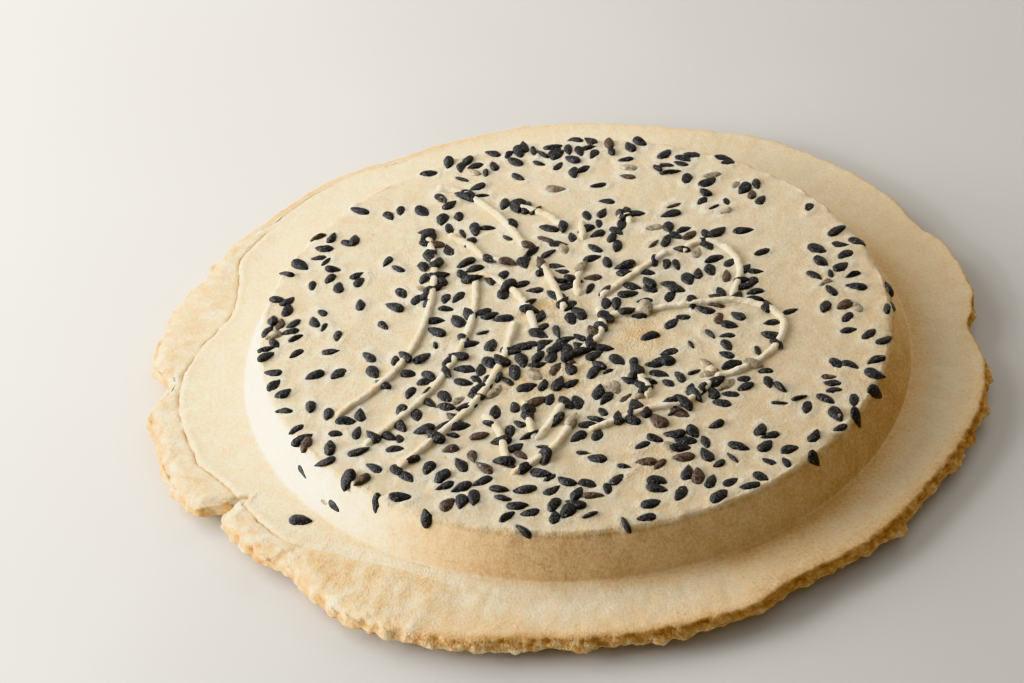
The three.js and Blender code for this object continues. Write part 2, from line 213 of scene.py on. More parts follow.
# How the broken edge stands out at its top, half way down and, in lumps, at its foot.
UPPER_TEAR = [[0.3, 2.4, 0], [0.06, 0.8, 3]]
MIDDLE_TEAR = [[0.3, 2.2, 51]]
LOWER_TEAR = 0.17
LOWER_WAVES = (17, 29, 43, 67)
LUMPS = [[1.3, 2.4, 2.5]]
LUMPS_IN = 0.3
LUMP_GRAIN = [[0.08, 0.9, 2.8]]

# Where the edge slants it has teeth, [angle, half width, reach], and smaller ones, and is smoother
# between them. The torn dough's crumbs are flatter than wide.
TEETH = [
    [350, 2.2, 0.9], [343.5, 3, 0.8], [337, 2.4, 0.6], [332, 2.6, 0.8], [316, 2, 1.5],
    [310.2, 1.6, 0.6],
]
TEETH_IN = 0.6
SMALL_TEETH = [[0.2, 5.5, 8.5]]
TOOTH_SHARPNESS = 3.2
SMOOTHER = 0.6
SMOOTHER_FROM = (288, 318)
LAYERED = (1, 1, 1.9)

# These crumbs, as [size, shift], their height, and how much paler their tops are and darker the
# gaps between them, which is partly painted shade.
COARSE_CRUMBS = (1.5, 0)
FINE_CRUMBS = (0.7, 5)
COARSE_H = 0.14
FINE_H = 0.13
TORN_LUMPS = [[0.2, 2, 21]]
COARSE_PALER = 0.24
FINE_PALER = 0.22

# The face is rougher towards its middle, and where it stuck to the mould: [x, y, spread, share].
ROUGHER_R = 22
STUCK = [
    [-3.6, 2.9, 4, 0.7], [9.1, -4.6, 3.5, 1], [-1, -11.2, 4, 0.7], [-7.7, -12, 4, 0.6],
    [-4.7, -16.4, 3.5, 0.6], [8, -31, 3, 0.5],
]
STUCK_BAKED = 0.14
STUCK_CRUMB = 1.5
STUCK_LUMP = 0.12

# The collar of dough round each seed, in multiples of the seed's half length and width.
SEED_HALVES = (0.5, 0.27)
COLLAR_AT = 1.15
COLLAR_SPREAD = 0.4
COLLAR_H = 0.16
COLLAR_LEAST = 0.6
COLLAR_UNEVEN = [[1, 0.9, 8]]
COLLAR_CRUMB = 0.6
COLLAR_PALER = 0.12
NEAREST_SEEDS = 3

# ---- dough: baking

# How far each part is baked, from 0, cream, to 1, dark brown, and how much darker it is towards
# the front right, partly real browning and partly painted shade on the side away from the lamps.
# The wall, the rim and its edge are baked by [angle, value]; the wall's and the rim's tables also
# hold painted light and shade, the wall paler where the lamps light it at the left and both
# darker towards the front right, which lies in shade.
BAKED = {
    "face": 0.24, "crest": 0.19, "crease": 0.5, "lip": 0.22, "front lip": 0.36,
    "rolled": 0.35, "torn": 0.56, "crumbs": 0.17, "under": 0.44,
}
BROWNER_AND_SHADED = {"face": 0.1, "torn": 0.22, "crumbs": 0.34, "foot": 0.2}
BROWNEST_AND_SHADIEST_AT = 325
WALL_BAKED_LIT_AND_SHADED = [
    [0, 0.53], [30, 0.38], [70, 0.14], [120, 0], [205, -0.04], [228, 0.11], [246, 0.38],
    [262, 0.49], [290, 0.48], [320, 0.6], [340, 0.65],
]
RIM_BAKED_AND_SHADED = [
    [0, 0.29], [20, 0.33], [40, 0.27], [90, 0.2], [160, 0.18], [230, 0.2], [260, 0.22],
    [280, 0.27], [300, 0.41], [320, 0.34], [340, 0.28],
]
EDGE_BAKED = [
    [0, 0.38], [60, 0.3], [120, 0.38], [230, 0.52], [250, 0.6], [270, 0.55], [290, 0.52],
    [320, 0.5], [345, 0.42],
]
LIP_BROWNS = (212, 242)

# How strongly each part is mottled, the rim most round one angle.
MOTTLED = {"face": 0.25, "wall": 0.22, "rim": 0.16, "front rim": 0.4, "lip": 0.2, "crest": 0.3}
MOST_MOTTLED_AT = 255
MOST_MOTTLED_SPREAD = 42

# Painted shade on the face, a grey tint over all of it that deepens towards the front, away from
# the lamps; and how much the lip and its torn edge shine.
LEAST_PAINTED_SHADE = 0.32
MORE_PAINTED_SHADE = 0.38
SHADIEST_AT = 280
GLAZED = 0.3
GLAZED_TORN = 2.5

# ---- crest and sesame: shape

# Half a raised line's section, as (across, up), and how its width and height vary.
RIDGE_HALF = [(RIDGE_W / 2, -0.35), (0.53, 0.12), (0.48, 0.4), (0.33, 0.53)]
RIDGE_BACK = 0.57
RIDGE_SPACING = 0.3
RIDGE_WIDTHS = [[0.2, 1.5, 5], [0.2, 0.7, 6]]
RIDGE_HEIGHTS = [[0.25, 2.2, 8], [0.25, 0.8, 9]]
RIDGE_END_H = 0.35
RIDGE_TIP = 0.02
CURVE_STEPS = 24
# The crest's looks, with an even touch of painted shade.
CREST_LOOKS = {"crumb": 0.6, "torn": 0, "mottled": MOTTLED["crest"], "painted_shade": 0.2, "glazed": 0}
CREST_PATCHES = [[0.1, 3, 0]]

# Seeds that lie over the others: [x, y, spread, count], and the share of them across a line.
HEAPS = [
    [-4.5, 3.5, 2.2, 2], [-2.5, -6.2, 1.8, 9], [2.5, 5, 2, 1], [-5, 13.5, 3, 9], [5, 12.5, 4, 3],
    [12.5, 5, 4, 4], [5, -12.5, 4, 6], [-20, -9, 4.5, 6], [-9, -20, 4, 5], [9.5, -21, 4.5, 3],
    [20.5, -9, 4.5, 5], [22, -5, 3.5, 4], [15, -31, 3, 5], [-38, 15, 3, 6], [20, 34, 4, 4],
    [5, 39, 3, 3], [-14, 37, 4, 4], [-42, 9, 1.6, 3], [-42.5, 4, 1.6, 3], [-42.5, -1, 1.6, 2],
    [-3.5, 41.5, 1.8, 4], [4, 42, 1.8, 3], [-32.5, 23, 2, 3], [29, -32, 2, 2], [-21, -38, 1.6, 2],
]
ACROSS_LINES = 0.4
ACROSS_SPREAD = 0.4
HEAP_TRIES = 6
HEAP_GAP = 1.25

# Seeds beyond the solid's own that fell beside these places are left out: [x, y, radius].
SOLID_SEEDS = 240
THINNED = [
    [-9, -5, 4], [11.5, -37.5, 4.5], [-30, -32, 4.5], [34, 11, 4], [-7, 28, 4], [-1, -37.5, 3.5],
    [40.5, -17, 3.5], [18.5, 0.5, 3.5], [43, -9, 3], [-18.5, 22, 3], [8.5, 13, 3], [40.5, 17, 3],
]

# Seeds off the face: [angle, millimetres past the face's edge, heading, length, kind].
WALL_SEEDS = [
    [214.4, 3.6, 70, 2.9, "black"], [223.9, 4.8, 75, 2.9, "black"], [221.6, 5.4, 100, 2.6, "pale"],
    [232, 1.4, 10, 2.7, "black"], [224.7, 0.4, 20, 3.2, "black"], [227, -0.6, 0, 2.9, "brown"],
    [218.2, 0.1, -20, 3.0, "black"], [212.3, 0.1, 40, 2.9, "brown"],
    [359, 1.2, 80, 2.8, "black"], [4, 1.3, 95, 3.0, "black"], [334, 1.1, 30, 3.0, "black"],
    [326, 0.8, -20, 2.9, "black"], [313, 1.0, 15, 2.7, "black"],
]
# On the rim: [angle, radius, heading from outwards, length, kind].
RIM_SEEDS = [[219.8, 50.1, 130, 3.1, "black"]]

# A seed's form, for a length of 1, with the bulges and furrows of its skin.
SEED_RINGS = 12
SEED_SIDES = 14
SEED_WIDTH = (0.48, 0.64)
SEED_THICKNESS = (0.26, 0.36)
SEED_TIP = (0.68, 1.05)
SEED_BUTT = 0.5
SEED_BEND = (-0.07, 0.07)
TIP_BEND = 0.2
SEED_FULLNESS = 0.8
SEED_KEEL = 0.2
SEED_BULGES = 0.13
SEED_FURROWS = 0.09

# How a seed lies: its roll and pitch in radians, and its height as shares of its length. A few
# lie on their side. All swelled a little in the oven.
SEED_SCALE = 1.08
ROLL = 0.22
PITCH = 0.08
ON_SIDE = 0.1
ON_SIDE_ROLL = (0.8, 1.3)
STANDS = (-0.05, 0.035)
ROLLED_SINKS = 0.1
HIGHEST_SEED = 10.7

# How high a seed is lifted by a line or by another seed, and from how far off.
SPINE_SPACING = 0.4
LIFTED_BY_LINE = 0.4
LIFTED_BY_SEED = 0.32
SEED_REACH = 1.4

# The share of all seeds up to each kind.
KINDS_UP_TO = {"black": 0.91, "brown": 0.965, "pale": 1}

# ---- materials and studio

# Tones of the dough's skin and of its broken edge, by how far it is baked.
SKIN_TONES = [
    (0, (0.95, 0.91, 0.82)), (0.2, (0.86, 0.76, 0.57)), (0.4, (0.84, 0.63, 0.38)),
    (0.6, (0.69, 0.44, 0.215)), (0.8, (0.47, 0.245, 0.095)), (1, (0.27, 0.12, 0.045)),
]
BROKEN_TONES = [
    (0, (0.95, 0.88, 0.69)), (0.3, (0.9, 0.74, 0.48)), (0.55, (0.78, 0.49, 0.22)),
    (0.8, (0.54, 0.26, 0.095)), (1, (0.33, 0.12, 0.03)),
]
GOLD = (0.8, 0.54, 0.24)
FLECK = (0.58, 0.36, 0.18)
# The grey tint of the face's painted shade.
PAINTED_SHADE_TINT = (0.88, 0.895, 0.915)
FLOUR = (0.6, 0.52, 0.4)
DOUGH_FILM = (0.62, 0.52, 0.37)
FLOOR_TONES = ((0.7, 0.69, 0.675), (0.73, 0.72, 0.705))

# Depths of the bumps at full height, in millimetres.
DOUGH_BUMP = 0.15
SEED_BUMP = 0.32
FLOOR_BUMP = 0.02

# Each kind: its dark and light tones, its share of flour, and over which range of the noise a
# film of dough comes in.
SESAME_LOOKS = {
    "black": ((0.012, 0.012, 0.014), (0.042, 0.044, 0.052), 0.5, (0.72, 0.8)),
    "brown": ((0.05, 0.032, 0.026), (0.16, 0.105, 0.08), 0.4, (0.6, 0.75)),
    "pale": ((0.22, 0.17, 0.12), (0.42, 0.34, 0.23), 0.3, (0.45, 0.7)),
}

# The camera's distance is from the middle of the face. It is tipped to its right by its roll.
CAMERA_LENS = 100
CAMERA_SENSOR = 36
CAMERA_DISTANCE = 403.8
CAMERA_ELEVATION = 38.2
CAMERA_TARGET = (-8.91, -4.2, FACE_Z)
CAMERA_ROLL = -4.784

# Soft lights: name, azimuth, elevation, distance and size in metres, watts and colour.
LAMPS = [
    ("window", 150, 28.5, 0.32, 0.22, 0.73, (1.0, 0.985, 0.95)),
    ("side", 188, 18, 0.35, 0.18, 1.18, (1.0, 0.995, 0.985)),
    ("back", 60, 30, 0.6, 0.4, 0.9, (1.0, 0.94, 0.84)),
]
ROOM_LIGHT = (1.0, 0.95, 0.87, 1)
ROOM_STRENGTH = 0.31
FLOOR_REACH = 4000


# ---- numbers


def generator(state):
    """The solid's own random draws, from 0 to 1."""
    while True:
        state = (state * 1664525 + 1013904223) % 2**32
        yield state / 2**32


def mix(first, second, share):
    return first + (second - first) * share


def eased(t):
    """Goes smoothly from 0 to 1 as t does, level at both ends."""
    return t * t * (3 - 2 * t)


def ramp(ends, value):
    """Rises smoothly from 0 to 1 as value goes from one end to the other."""
    start, stop = ends
    return eased(np.clip((value - start) / (stop - start), 0, 1))


def curve(values, slopes, t):
    """The smooth curve from one value to the next, with a slope at each, as t goes from 0 to 1."""
    start, stop = values
    leaving, arriving = slopes
    bend = leaving * t * (1 - t) ** 2 + arriving * t * t * (t - 1)
    return start * (1 - eased(t)) + stop * eased(t) + bend


def closed_curve(points, angle):
    """The smooth closed curve through [angle, value], which doesn't overshoot."""
    at, value = np.array(points, float).T
    at = np.concatenate([at[-2:] - 360, at, at[:3] + 360])
    value = np.concatenate([value[-2:], value, value[:3]])
    chord = np.diff(value) / np.diff(at)
    before, after = chord[:-1], chord[1:]
    even = np.where(before * after > 0, before + after, np.inf)
    slope = np.concatenate([[0], 2 * before * after / even, [0]])
    k = np.searchsorted(at, angle, side="right") - 1
    span = at[k + 1] - at[k]
    slopes = (span * slope[k], span * slope[k + 1])
    return curve((value[k], value[k + 1]), slopes, (angle - at[k]) / span)


def waves(counts, seed):
    """A seeded sum of waves round the cracker, within -1 and 1."""
    draw = generator(seed)
    parts = [(count, 2 * pi * next(draw), 0.5 + 0.5 * next(draw)) for count in counts]
    total = sum(size for _, _, size in parts)
    return lambda angle: sum(s * np.sin(n * np.radians(angle) + p) for n, p, s in parts) / total


def spots(points, size, shift):
    """Smooth noise at points, about -1 to 1, its spots about `size` across."""
    return np.array([noise.noise(p) for p in (points / size + shift).tolist()])


def relief(points, layers):
    """The sum of the layers' noise at points."""
    return sum(height * spots(points, size, shift) for height, size, shift in layers)


def flat_relief(x, y, layers):
    """The same at one place on a plane."""
    return sum(height * noise.noise((x / size, y / size, shift)) for height, size, shift in layers)


def domes(points, layers):
    """The same in rounded lumps that meet in creases, never below 0."""
    return sum(height * np.abs(spots(points, size, shift)) for height, size, shift in layers)


def seams(points, layers, sharpness):
    """Thin lines where `domes` has its creases, and 0 elsewhere."""
    lines = [(height, np.abs(spots(points, size, shift))) for height, size, shift in layers]
    return sum(height * np.clip(1 - sharpness * line, 0, 1) for height, line in lines)


def grains(points, size, shift):
    """Grains about `size` across: near 1 on their tops, and below 0 in the gaps."""
    nearest = [noise.voronoi(p)[0][0] for p in (points / size + shift).tolist()]
    return 1 - 2 * np.array(nearest)


def run_along(points):
    """How far along the line through points each of them is."""
    steps = np.linalg.norm(np.diff(points, axis=0), axis=1)
    return np.concatenate([[0], np.cumsum(steps)])


# ---- meshes


def stitched(first, second, starts):
    """Faces between two rings, given how many vertices each has and where it starts."""
    a, b = starts
    if first == second:
        turn = [(k, (k + 1) % first) for k in range(first)]
        return [(a + k, b + k, b + after, a + after) for k, after in turn]
    faces = []
    i = j = 0
    while i < first or j < second:
        here, there = a + i % first, b + j % second
        if (i + 0.5) / first < (j + 0.5) / second:
            i += 1
            faces.append((here, there, a + i % first))
        else:
            j += 1
            faces.append((here, there, b + j % second))
    return faces


def spindle(counts):
    """Faces of a closed form: rings of so many vertices between two single ones."""
    starts = np.cumsum([1, *counts]).tolist()
    first, last = counts[0], counts[-1]
    faces = [(0, 1 + k, 1 + (k + 1) % first) for k in range(first)]
    for k in range(len(counts) - 1):
        faces += stitched(counts[k], counts[k + 1], starts[k : k + 2])
    begin, end = starts[-2:]
    faces += [(end, begin + (k + 1) % last, begin + k) for k in range(last)]
    return faces


def joined(parts):
    """Points and faces of several parts as one."""
    places, faces, start = [], [], 0
    for points, own in parts:
        places.append(points)
        faces += [tuple(start + k for k in face) for face in own]
        start += len(points)
    return np.concatenate(places), faces


def added(name, data):
    """A new object in the scene."""
    piece = bpy.data.objects.new(name, data)
    bpy.context.scene.collection.objects.link(piece)
    return piece


def make_mesh(name, points, faces, attributes=None):
    """A smooth object from points in millimetres, with named values at its vertices."""
    mesh = bpy.data.meshes.new(name)
    mesh.from_pydata((np.asarray(points) * MM).tolist(), [], faces)
    mesh.shade_smooth()
    for label, values in (attributes or {}).items():
        mesh.attributes.new(label, "FLOAT", "POINT").data.foreach_set("value", values)
    mesh.update()
    return added(name, mesh)


def push_out(piece, amount):
    """Moves each vertex along its normal by its own amount, in millimetres."""
    mesh = piece.data
    count = len(mesh.vertices)
    place, normal = np.zeros(count * 3), np.zeros(count * 3)
    mesh.vertices.foreach_get("co", place)
    mesh.vertex_normals.foreach_get("vector", normal)
    moved = place.reshape(-1, 3) + normal.reshape(-1, 3) * amount[:, None] * MM
    mesh.vertices.foreach_set("co", moved.ravel())
    mesh.update()


# ---- dough

lower_waves = waves(LOWER_WAVES, DRAWS["tear"])
sway_waves = waves(SWAY_WAVES, DRAWS["sway"])


def edge_radius(angle):
    return FACE_R * closed_curve(OUTLINE, angle)


def crease_radius(angle):
    return np.minimum(FACE_R * closed_curve(CREASE, angle), edge_radius(angle) - NARROWEST_LIP)


def within(stretch, angle):
    return ramp(stretch[0], angle) * ramp(stretch[1], angle)


def sway(angle, r):
    return SWAY * sway_waves(angle) * ramp((FOOT_R, SWAY_FULL_R), r)


def browning_and_shade_share(angle):
    """The share of the extra browning and painted shade, most at the front right, away from the
    lamps.
    """
    return ((1 + np.cos(np.radians(angle - BROWNEST_AND_SHADIEST_AT))) / 2) ** 2


def baked_and_shaded(part, angle):
    return BAKED[part] + BROWNER_AND_SHADED[part] * browning_and_shade_share(angle)


def round_the_axis(count):
    return np.arange(count) * 360 / count


def ring(count, r, z, baked, crumb=0.3, lump=0.0, torn=0.0):
    """Points round the axis: rows of x, y, z, how far baked, which also carries painted light and
    shade, how open the crumb, how high the relief, and from 0, skin, to 1, torn."""
    angle = np.radians(round_the_axis(count))
    columns = [r * np.cos(angle), r * np.sin(angle), z, baked, crumb, lump, torn]
    return np.stack([np.broadcast_to(c, count) for c in columns], -1)


def disc_rings(radius, spacing):
    """Radius and vertex count of each ring across a flat disc, from its middle."""
    steps = round(radius / spacing)
    radii = [radius * k / steps for k in range(1, steps + 1)]
    return [(r, max(round(2 * pi * r / spacing), 8)) for r in radii]


def face_rings():
    rings = disc_rings(FACE_R - EDGE_ROUND, FACE_SPACING)
    rings[-1] = (rings[-1][0], WALL_POINTS)
    rows = []
    for r, count in rings:
        # The face is darker towards its front right edge: partly browning, partly painted shade.
        baked = mix(BAKED["face"], baked_and_shaded("face", round_the_axis(count)), r / FACE_R)
        rougher = exp(-((r / ROUGHER_R) ** 2))
        crumb, lump = 0.22 + 0.4 * rougher, 0.06 + 0.03 * rougher
        rows.append(ring(count, r, FACE_Z, baked, crumb, lump))
    return rows


def wall_rings():
    """The rounded edge, the wall and the crease at its foot."""
    angle = round_the_axis(WALL_POINTS)
    face = baked_and_shaded("face", angle)
    wall, rim = closed_curve(WALL_BAKED_LIT_AND_SHADED, angle), closed_curve(RIM_BAKED_AND_SHADED, angle)
    rings = []
    for k in range(1, EDGE_STEPS + 1):
        share = k / EDGE_STEPS
        r, z, _ = over_edge(EDGE_ROUND * WALL_LEAN * share)
        baked = mix(face, wall, share**2)
        rings.append(ring(WALL_POINTS, r, z, baked, crumb=0.9, lump=0.24, torn=0.3))
    top = (r, z)
    foot_r = FOOT_R - FOOT_CREASE * cos(WALL_LEAN)
    foot_z = RIM_TOP + FOOT_CREASE * sin(WALL_LEAN)
    for k in range(1, WALL_STEPS + 1):
        share = k / WALL_STEPS
        r, z = mix(top[0], foot_r, share), mix(top[1], foot_z, share)
        lump = 0.22 - 0.15 * min(3 * share, 1)
        rings.append(ring(WALL_POINTS, r, z, wall, 0.2, lump))
    crease_z = RIM_TOP + 0.3 * FOOT_CREASE
    rings.append(ring(WALL_POINTS, FOOT_R, crease_z, (wall + rim) / 2, lump=0.03))
    return rings


def over_edge(past):
    """Radius, height and lean of the surface some way past the start of the face's edge."""
    turn = min(max(past, 0) / EDGE_ROUND, WALL_LEAN)
    down = max(past - EDGE_ROUND * WALL_LEAN, 0)
    r = FACE_R - EDGE_ROUND * (1 - sin(turn)) + down * cos(WALL_LEAN) + min(past, 0)
    z = FACE_Z - EDGE_ROUND * (1 - cos(turn)) - down * sin(WALL_LEAN)
    return r, z, turn


def swept(section, steps):
    """Rings through the stations [r, z, baked, crumb, lump, torn] of a section, each a number or
    an array round the axis, with so many steps from one to the next."""
    stations = [np.stack([np.broadcast_to(c, RIM_POINTS) for c in row]) for row in section]
    line = [s[:2] for s in stations]
    runs = [b - a for a, b in zip(line, line[1:])]
    lengths = [np.maximum(np.hypot(*run), 1e-6) for run in runs]
    units = [run / length for run, length in zip(runs, lengths)]
    tangents = [units[0]]
    for k in range(1, len(line) - 1):
        mean = units[k - 1] * lengths[k] + units[k] * lengths[k - 1]
        tangents.append(mean / np.maximum(np.hypot(*mean), 1e-6))
    tangents.append(units[-1])
    rings = []
    for k, count in enumerate(steps):
        slopes = (tangents[k] * lengths[k], tangents[k + 1] * lengths[k])
        for t in np.arange(count) / count:
            r, z = curve(line[k : k + 2], slopes, t)
            looks = mix(stations[k][2:], stations[k + 1][2:], t)
            rings.append(ring(RIM_POINTS, r, z, *looks))
    return rings


def tear(angle, outline):
    """How far the torn edge stands out at its top, half way down and at its foot."""
    lip, slant = within(LIP, angle), within(SLANTED, angle)
    broken = 1 - lip
    lobed = lip * (domes(outline, LOBES) - LOBES_IN)
    upper = broken * relief(outline, UPPER_TEAR) + lobed
    middle = broken * relief(outline, MIDDLE_TEAR)
    teeth = slant * (seams(outline, SMALL_TEETH, TOOTH_SHARPNESS) - TEETH_IN)
    for at, half, reach in TEETH:
        teeth = teeth + reach * np.clip(1 - np.abs(angle - at) / half, 0, 1)
    lumpy = broken * (domes(outline, LUMPS) - LUMPS_IN + relief(outline, LUMP_GRAIN))
    lumpy = lumpy * (1 - SMOOTHER * slant * ramp(SMOOTHER_FROM, angle))
    return upper, middle, LOWER_TEAR * lower_waves(angle) + lumpy + teeth + lobed


def rim_section(angle, outline):
    """Stations from the wall's foot over the crease and the lip, down the torn edge and under."""
    edge, crease, lip = edge_radius(angle), crease_radius(angle), within(LIP, angle)
    slant, side = within(SLANTED, angle), browning_and_shade_share(angle)
    upper, middle, lower = tear(angle, outline)
    jagged = crease + lip * relief(outline, CREASE_WANDER)
    strength = np.clip(CREASE_STRENGTH + relief(outline, CREASE_FADING), *CREASE_LIMITS)
    creased = within(CREASED, angle) * strength
    pinched = lip * seams(outline, PINCHES, PINCH_SHARPNESS)

    rim = closed_curve(RIM_BAKED_AND_SHADED, angle)
    far_lip = mix(BAKED["lip"], BAKED["front lip"], ramp(LIP_BROWNS, angle))
    on_lip = mix(rim, far_lip, lip)
    # The groove is browner than the rim round it: painted shade in the crease.
    groove = mix(rim, BAKED["crease"], creased)
    rolled = mix(closed_curve(EDGE_BAKED, angle), BAKED["rolled"], lip)
    torn = mix(baked_and_shaded("torn", angle), BAKED["rolled"], lip) + pinched
    crumby = mix(baked_and_shaded("crumbs", angle), BAKED["rolled"], lip) + pinched
    under = BAKED["under"]

    slanted = slant * SLANT
    broad = edge + 0.2 + 0.5 * slant + 0.2 * upper + 0.3 * lower + middle
    open_crumb, puffed, grainy = 0.2 + 0.4 * lip, 0.07 + 0.03 * lip, 1 - 0.5 * lip
    return [
        # The rim is darker at the wall's foot towards the front right: painted shade in that corner.
        (FOOT_R + FOOT_CREASE, RIM_TOP, rim + BROWNER_AND_SHADED["foot"] * side, open_crumb, 0.03, 0),
        (crease - 1.6, RIM_TOP, rim, open_crumb, 0.07, 0),
        (jagged - 0.2, RIM_TOP + 0.05 * creased, rim, open_crumb, 0.07, 0),
        (jagged, RIM_TOP - CREASE_DEPTH * creased, groove, 0.2 + 0.2 * lip, 0.07 - 0.05 * creased, 0),
        (jagged + 0.2, RIM_TOP - 0.06 * creased, on_lip, open_crumb, 0.07, 0),
        (crease + 1.4, RIM_TOP, on_lip, open_crumb, puffed, 0),
        (edge - 1.3, RIM_TOP, (on_lip + rolled) / 2, open_crumb, puffed, 0.1 * lip),
        (edge - 0.4 + (0.5 - 0.3 * lip) * upper, RIM_TOP, rolled, 0.5 + 0.3 * lip, 0.06, 0.35 * lip),
        # Just under its top the torn edge is browner, where shade falls under the top, and paler in
        # the crumbs at its foot: partly real browning, partly painted shade.
        (edge - 0.05 + upper, RIM_TOP - 0.08, (rolled + torn) / 2, 0.8, 0.05, grainy / 2),
        (edge + 0.05 + 0.15 * slant + 0.8 * upper, RIM_TOP - 0.4, torn, 1, 0.08, grainy),
        (broad, RIM_TOP - 1.1, mix(torn, crumby, 0.4), 1, 0.1, grainy),
        (edge + 0.3 + slanted + lower, RIM_BOTTOM + 0.25, crumby, 1, 0.08, grainy),
        (edge - 0.3 + slanted + lower, RIM_BOTTOM, under, 0.8, 0.05, 0.3),
        (STEP_R + STEP_FLARE + 2, RIM_BOTTOM, under, 0.4, 0.06, 0),
        (STEP_R + STEP_FLARE, RIM_BOTTOM, under, 0.4, 0.02, 0),
    ]


def rim_rings():
    angle = round_the_axis(RIM_POINTS)
    edge, crease, lip = edge_radius(angle), crease_radius(angle), within(LIP, angle)
    outline = ring(RIM_POINTS, edge, 0, 0)[:, :3]
    rings = swept(rim_section(angle, outline), RIM_STEPS)
    for points in rings:
        r = np.hypot(points[:, 0], points[:, 1])
        share = np.clip((points[:, 2] - RIM_BOTTOM) / RIM_T, 0, 1)
        raised = lip * lip_height(points[:, :3], outline, r - crease) - crack_depth(angle, r)
        points[:, 2] += share * raised + sway(angle, r)
    return rings


def lip_height(points, outline, past_crease):
    """How high the puffed lip stands, rounded off towards its outline."""
    near = np.full(len(points), np.inf)
    for shift in range(-EDGE_WITHIN, EDGE_WITHIN + 1):
        beside = np.roll(outline, shift, axis=0)
        apart = np.hypot(points[:, 0] - beside[:, 0], points[:, 1] - beside[:, 1])
        near = np.minimum(near, apart)
    to_edge = np.clip(near / LIP_ROUND, 0, 1)
    dropped = LIP_DROP * (1 - np.sqrt(1 - (1 - to_edge) ** 2))
    uneven = LIP_PUFF * (1 + relief(points, LIP_UNEVEN))
    return uneven * ramp(PUFFED_PAST_CREASE, past_crease) * ramp(PUFFED_FROM_EDGE, near) - dropped


def crack_depth(angle, r):
    depth = 0 * angle
    for at, start, width, deepest in CRACKS:
        aside = np.radians(angle - at) * r + CRACK_SWING * np.sin(CRACK_TURNS * r + at)
        opened = ramp(CRACK_DEEPENS, r - start * FACE_R)
        depth = depth + deepest * np.exp(-((aside / width) ** 2)) * opened
    return depth


def underside_rings():
    baked = BAKED["under"]
    rings = [ring(WALL_POINTS, STEP_R + STEP_FLARE, RIM_BOTTOM, baked)]
    for out, up in STEP_CURVE:
        r, z = STEP_R + out * STEP_FLARE, up * STEP_H
        rings.append(ring(WALL_POINTS, r, z, baked, crumb=0.4, lump=0.02))
    rings.append(ring(WALL_POINTS, STEP_R - STEP_FOOT, 0, baked))
    for r, count in reversed(disc_rings(STEP_R, UNDERSIDE_SPACING)[:-1]):
        rings.append(ring(count, r, 0, baked))
    return rings


def collars(x, y, seeds):
    """From 0 to 1, how near each place is to the outline of a seed pressed into the face."""
    half_length, half_width = SEED_HALVES
    tree = kdtree.KDTree(len(seeds))
    for k, (sx, sy, _, _) in enumerate(seeds):
        tree.insert((sx, sy, 0), k)
    tree.balance()
    share = np.zeros(len(x))
    for k, place in enumerate(zip(x, y)):
        for _, which, _ in tree.find_n((*place, 0), NEAREST_SEEDS):
            sx, sy, heading, length = seeds[which]
            dx, dy = place[0] - sx, place[1] - sy
            along = (dx * cos(heading) + dy * sin(heading)) / (half_length * length)
            aside = (dy * cos(heading) - dx * sin(heading)) / (half_width * length)
            off = (hypot(along, aside) - COLLAR_AT) / COLLAR_SPREAD
            share[k] = max(share[k], exp(-(off**2)))
    return share


